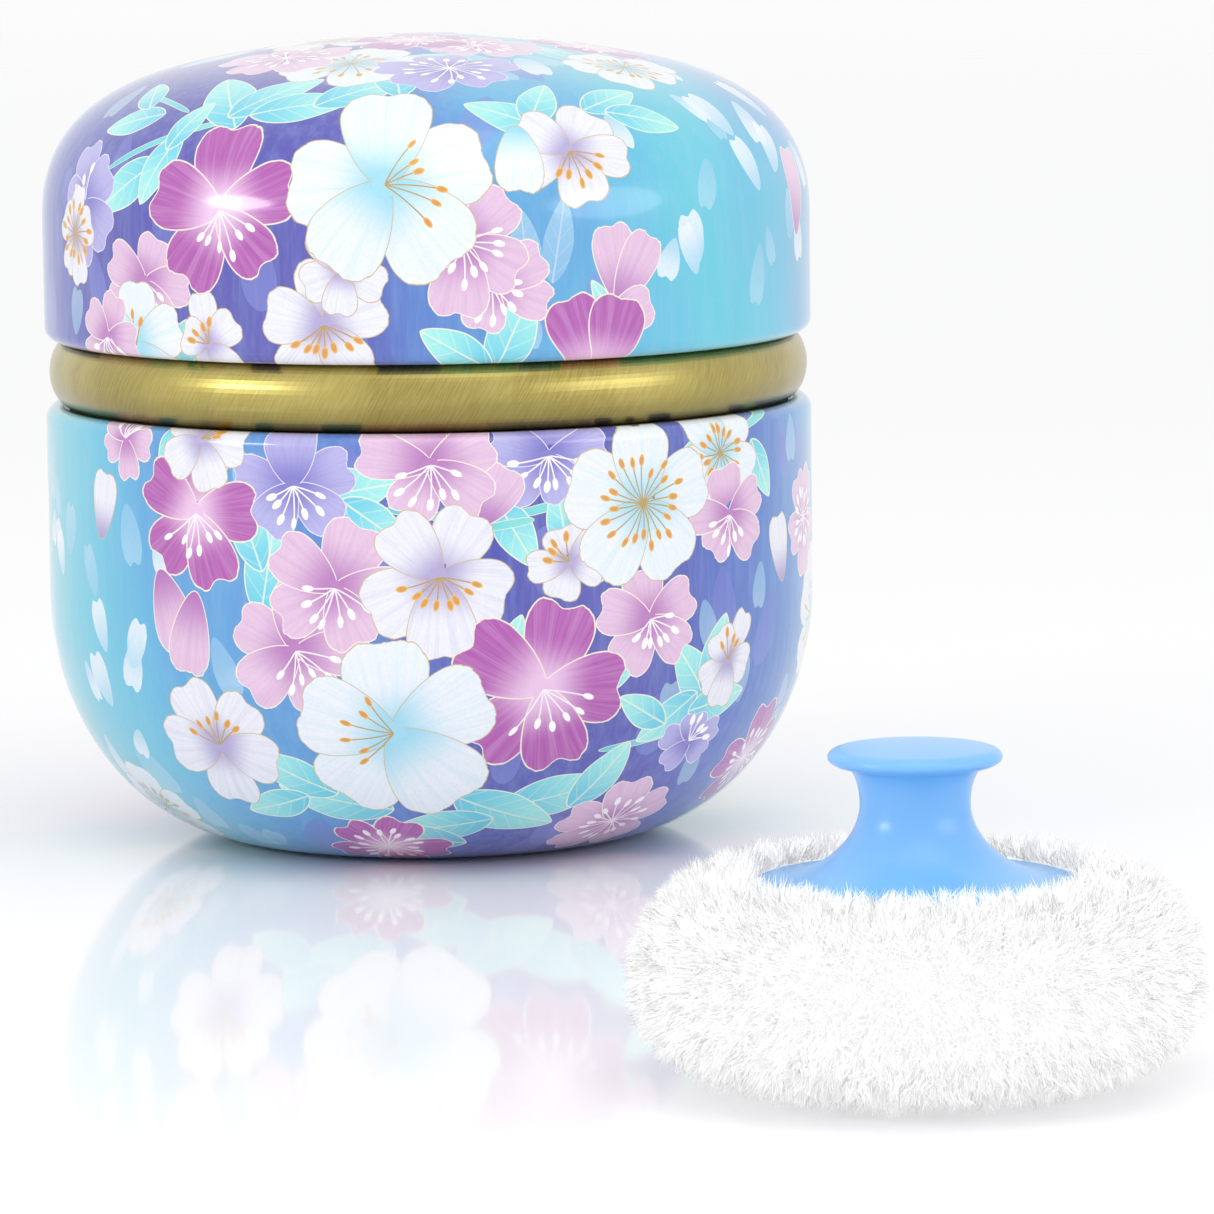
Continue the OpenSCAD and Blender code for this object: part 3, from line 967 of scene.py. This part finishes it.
def floor_material():
    """A pale gloss floor whose shine dies away in front of the tin."""
    material, graph = new_material("pale_floor", Roughness=0.06, IOR=1.45)
    here = graph.place()
    cloud = graph.noise(here, 3.0, 2.0)
    graph.finish(Base_Color=graph.mix(cloud, colour("f2f2f4"), colour("f6f6f7")))
    y = graph.split(here)[1]
    graph.finish(Specular_IOR_Level=graph.ramp(y, SHINE_FROM, SHINE_FULL) * 0.27)
    return material


# ---------- the tin's shells ----------

def printed_shell(node, name, body, materials, up, design):
    """A pressed shell. The outer half of its outline carries the print, the rest is bare tinplate."""
    outline = to_axis(ring_path(node, from_top=up > 0))
    half = len(outline) // 2
    outer = refine(outline[:half], ROW_MM)
    inner = outline[half - 1:]
    edge = int(np.argmin(outer[:, 1]) if up > 0 else np.argmax(outer[:, 1]))
    path = np.vstack([outer, inner[1:]])
    corners, faces, rows = revolve(path, TURN_STEPS)
    printed = rows < len(outer) - 1
    if up > 0:
        faces = faces[:, ::-1]
    faces = np.vstack([faces[printed], faces[~printed]])
    piece = new_piece(name, corners, faces.tolist(), body, materials)
    count = int(printed.sum())
    index = np.zeros(len(faces), dtype=np.int32)
    index[count:] = 1
    centres = corners[faces].mean(axis=1) / MM
    underside = (np.hypot(centres[:, 0], centres[:, 1]) < BASE_PANEL_R_MM) & (centres[:, 2] < 2)
    index[underside] = 1
    piece.data.polygons.foreach_set("material_index", index)
    piece.data.set_sharp_from_angle(angle=math.radians(SHARP_DEG))
    art = Print(outer, edge, up)
    design(art)
    art.lay(piece.data, corners / MM, faces[:count])
    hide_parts(node)
    return piece


# ---------- the powder and the puff ----------

def powder_heap(material):
    """Loose talc with an uneven top that has settled a little in the middle."""
    outline = ring_path("powder_fill")
    side = np.vstack([[0, outline[0][1]], outline])
    level, reach = outline[-1][1], outline[-1][0]
    top = [(reach * (1 - k / POWDER_RINGS), level) for k in range(1, POWDER_RINGS + 1)]
    corners, faces = revolve(np.vstack([side, top]), POWDER_STEPS)[:2]
    first_top = 1 + POWDER_STEPS * (len(side) - 1)
    for corner in corners[first_top:]:
        r = math.hypot(corner[0], corner[1]) / (reach * MM)
        wave = noise.noise(Vector(corner) * 90) * 0.5 + noise.noise(Vector(corner) * 260) * 0.2
        hollow = math.exp(-(r / 0.55) ** 2) * 1.6
        corner[2] -= (0.75 - wave * 0.9 + hollow) * MM * min(1, (1 - r) * 9)
    piece = new_piece("powder_heap", corners, faces.tolist(), "tin", [material])
    piece.data.set_sharp_from_angle(angle=math.radians(50))
    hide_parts("powder_fill")
    return piece


def pad_outline():
    """In mm: the outer outline drawn in by the pile's depth, its normals, and the inner outline."""
    outline = to_axis(ring_path("puff_cover", PUFF_AXIS))
    rim = int(np.flatnonzero(outline[:, 1] > outline[:, 1].max() - ON_AXIS_MM)[-1])
    outer = refine(outline[:rim + 1], PILE_STEP_MM)
    slope = np.gradient(outer, axis=0)
    slope[0] = slope[1]
    slope[-1] = slope[-2]
    slope /= np.hypot(*slope.T)[:, None]
    normals = np.column_stack([slope[:, 1], -slope[:, 0]])
    skin = outer - normals * PILE_INSET_MM
    skin[0][0] = 0
    skin[-1][0] = outline[rim + 1][0]
    return skin, normals, outline[rim + 1:]


def plush_skin(material, skin, inside):
    """The knitted ground under the pile, with the handle's seat and room for the filling."""
    corners, faces = revolve(np.vstack([skin, inside]), PAD_STEPS, PUFF_AXIS)[:2]
    first_inside = 1 + PAD_STEPS * (len(skin) - 2)
    for corner in corners[:first_inside]:
        lump = noise.noise(Vector(corner) * 420) * 0.28 + noise.noise(Vector(corner) * 1100) * 0.14
        out = corner - np.array([*PUFF_AXIS, PAD_MIDDLE_Z])
        corner += out / np.linalg.norm(out) * lump * MM
    piece = new_piece("puff_plush_ground", corners, faces.tolist(), "puff", [material])
    return piece


def unit(vectors):
    return vectors / np.linalg.norm(vectors, axis=1)[:, None]


def fibre_roots(dice, skin, normals):
    """Each fibre's root and the pad's normal there, the way out from the axis, and the root's radius."""
    lengths = np.hypot(*np.diff(skin, axis=0).T)
    weight = lengths * (skin[1:, 0] + skin[:-1, 0])
    weight[skin[1:, 1] < skin[:, 1].min() + UNDERSIDE_MM] *= UNDERSIDE_SHARE
    row = dice.choice(len(weight), STRANDS, p=weight / weight.sum())
    share = dice.random(STRANDS)[:, None]
    turn = dice.uniform(0, 2 * math.pi, STRANDS)
    out = np.column_stack([np.sin(turn), -np.cos(turn), np.zeros(STRANDS)])
    flat = [path[row] * (1 - share) + path[row + 1] * share for path in (skin, normals)]
    root, normal = [out * spot[:, :1] + [0, 0, 1] * spot[:, 1:] for spot in flat]
    return root, normal, out, flat[0][:, :1], share[:, 0]


def nearest_leader(root):
    """For each fibre, which of the first CLUMPS fibres stands nearest to it and leads its clump."""
    tree = kdtree.KDTree(CLUMPS)
    for k in range(CLUMPS):
        tree.insert(root[k], k)
    tree.balance()
    return np.array([tree.find(point)[1] for point in root])


def fibre_paths(dice, root, normal, out, radius, chance):
    """Each fibre's middle and tip in mm: it leans and droops, and bends towards its clump's tip."""
    clump = nearest_leader(root)
    droop = np.array([0, 0, -PILE_DROOP]) * (1 - np.abs(normal[:, 2:]))
    lead = normal + dice.normal(0, PILE_LEAN, (STRANDS, 3)) + droop
    lean = normal + dice.normal(0, PILE_LEAN, (STRANDS, 3)) + droop
    from_handle = (radius - SEAT_R_MM) / OVER_HANDLE_MM
    near_handle = np.clip(1 - from_handle, 0, 1) * (root[:, 2:] > HANDLE_EDGE_MM - 3)
    lead = unit(lead - out * near_handle * 0.5)
    lean = unit(lean - out * near_handle * 0.5)
    long = PILE_LENGTH_MM * dice.uniform(*FIBRE_LENGTHS, (STRANDS, 1))
    long = long * dice.uniform(*CLUMP_LENGTHS, (CLUMPS, 1))[clump]
    middle = root + lean * long * 0.5
    own_tip = middle + (lean + dice.normal(0, 0.25, (STRANDS, 3))) * long * 0.5
    clump_tip = (root + lead * long)[clump]
    pull = dice.uniform(*CLUMP_PULL, (STRANDS, 1))
    tip = own_tip * (1 - pull) + clump_tip * pull
    tip += (root - root[clump]) * pull * 0.35
    on_handle = (np.hypot(tip[:, 0], tip[:, 1]) < SEAT_R_MM) & (tip[:, 2] > HANDLE_EDGE_MM - 4)
    tip[on_handle, 2] = np.maximum(tip[on_handle, 2], HANDLE_EDGE_MM + 0.25)
    middle[:, 2] = np.maximum(middle[:, 2], LOWEST_MIDDLE_MM)
    tip[:, 2] = np.maximum(tip[:, 2], LOWEST_TIP_MM + 0.2 * chance)
    return middle, tip


def puff_pile(material, skin, normals):
    """The white pile: tapered fibres in small clumps that droop and close over the handle's edge."""
    dice = np.random.default_rng(PILE_SEED)
    root, normal, out, radius, chance = fibre_roots(dice, skin, normals)
    middle, tip = fibre_paths(dice, root, normal, out, radius, chance)
    side = unit(np.cross(middle - root, normal + dice.normal(0, 0.35, (STRANDS, 3))))
    broad = side * dice.uniform(0.8, 1.2, (STRANDS, 1)) * STRAND_WIDTH_MM / 2
    corners = np.stack(
        [root - broad, root + broad, middle + broad * 0.8, middle - broad * 0.8, tip], axis=1)
    corners = corners.reshape(-1, 3) * MM + [*PUFF_AXIS, 0]
    base = np.arange(STRANDS)[:, None] * 5
    faces = (base + [0, 1, 2, 3]).tolist() + (base + [3, 2, 4]).tolist()
    piece = new_piece("puff_pile", corners, faces, "puff", [material])
    along = np.tile([0, 0, 0.6, 0.6, 1.0], STRANDS)
    tint = np.repeat(dice.random(STRANDS), 5)
    lifted = np.repeat(normal + dice.normal(0, 0.12, (STRANDS, 3)), 5, axis=0)
    for name, kind, label, values in (
            ("along", "FLOAT", "value", along), ("tint", "FLOAT", "value", tint),
            ("pad_normal", "FLOAT_VECTOR", "vector", lifted)):
        attribute = piece.data.attributes.new(name, kind, "POINT")
        attribute.data.foreach_set(label, values.astype(np.float32).ravel())
    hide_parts("puff_cover")
    return piece


# ---------- the studio ----------

def studio():
    """A pale floor, a white surround, soft lights and the camera."""
    bpy.ops.mesh.primitive_plane_add(size=6, location=(0, 0, 0))
    floor = bpy.context.object
    floor.name = "studio_floor"
    floor.data.materials.append(floor_material())
    world = bpy.data.worlds.new("white_surround")
    world.use_nodes = True
    surround = world.node_tree.nodes["Background"]
    surround.inputs["Color"].default_value = (1, 1, 1, 1)
    surround.inputs["Strength"].default_value = 0.97
    bpy.context.scene.world = world
    soft_light("key_light", (-0.51, -0.33, 0.23), 0.24, 0.1, 0.65)
    soft_light("fill_light", (0.5, -0.36, 0.2), 0.42, 0.22, 0.5)
    soft_light("top_light", (0.1, -0.35, 0.85), 0.7, 0.7, 1.2)
    camera = bpy.data.cameras.new("camera")
    camera.lens = CAMERA_LENS
    camera.sensor_width = 36
    camera.clip_start = 0.01
    eye = bpy.data.objects.new("camera", camera)
    bpy.context.scene.collection.objects.link(eye)
    height = math.radians(CAMERA_HEIGHT_DEG)
    back = CAMERA_DISTANCE * math.cos(height)
    eye.location = (0, -back, AIM_HEIGHT + CAMERA_DISTANCE * math.sin(height))
    pitch = math.radians(90 - CAMERA_HEIGHT_DEG - AIM_DOWN_DEG)
    eye.rotation_euler = (pitch, math.radians(CAMERA_ROLL_DEG), math.radians(-AIM_RIGHT_DEG))
    bpy.context.scene.camera = eye
    bpy.context.scene.view_settings.view_transform = "Standard"


def soft_light(name, place, width, height, power):
    light = bpy.data.lights.new(name, "AREA")
    light.shape = "ELLIPSE"
    light.size = width
    light.size_y = height
    light.energy = power
    lamp = bpy.data.objects.new(name, light)
    bpy.context.scene.collection.objects.link(lamp)
    lamp.location = place
    aim = Vector((0, 0, AIM_HEIGHT)) - Vector(place)
    lamp.rotation_euler = aim.to_track_quat("-Z", "Y").to_euler()


def finish_node(name, material):
    """Gives a CAD node a better material."""
    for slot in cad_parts[name].material_slots:
        slot.material = material


# ---------- the scene ----------

studio()

handle_low, handle_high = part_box("puff_handle")
PUFF_AXIS = ((handle_low[0] + handle_high[0]) / 2, (handle_low[1] + handle_high[1]) / 2)
SEAT_R_MM = (handle_high[0] - handle_low[0]) / 2 / MM + 0.15

petals = petal_layer()
stamens = stamen_layer()
tinplate = tinplate_material()
lid_ground = [
    (0.0, "4b46ae"), (0.1, "4a7dcc"), (0.2, "4fb0de"), (0.32, "5fd0da"), (0.44, "58bfe0"),
    (0.56, "4a78ca"), (0.7, "4842a8"), (0.88, "4742aa"), (1.0, "4b46ae")]
body_ground = [
    (0.0, "4a62bf"), (0.1, "4642a9"), (0.24, "4846ad"), (0.38, "4275c9"), (0.5, "4fa6da"),
    (0.6, "62cfd8"), (0.72, "5ac2de"), (0.86, "4a94d8"), (1.0, "4a62bf")]
lid_print = print_material("lid_print", lid_ground, petals, stamens)
body_print = print_material("body_print", body_ground, petals, stamens)
printed_shell("lid_shell", "tin_lid", "lid", [lid_print, tinplate], 1, lid_design)
printed_shell("body_shell", "tin_body", "tin", [body_print, tinplate], -1, body_design)
finish_node("collar_ring", gold_material())
powder_heap(talc_material())

pad_skin, pad_normals, pad_inside = pad_outline()
# The knitted ground glows with painted light, as the pile above it does.
plush_skin(fabric_material("plush_ground", "e9e9ec", "ffffff", 1500, 0.0003, 0.3), pad_skin, pad_inside)
puff_pile(pile_material(), pad_skin, pad_normals)
turned_piece(
    "puff_handle", "puff_handle_moulded", "puff", blue_plastic_material(), PUFF_AXIS)
finish_node("puff_filling", fabric_material("foam", "e3decd", "f6f3ea", 900, 0.0004))
finish_node("puff_washer", clear_plastic_material())
finish_node("puff_thread", thread_material())

bpy.context.view_layer.update()
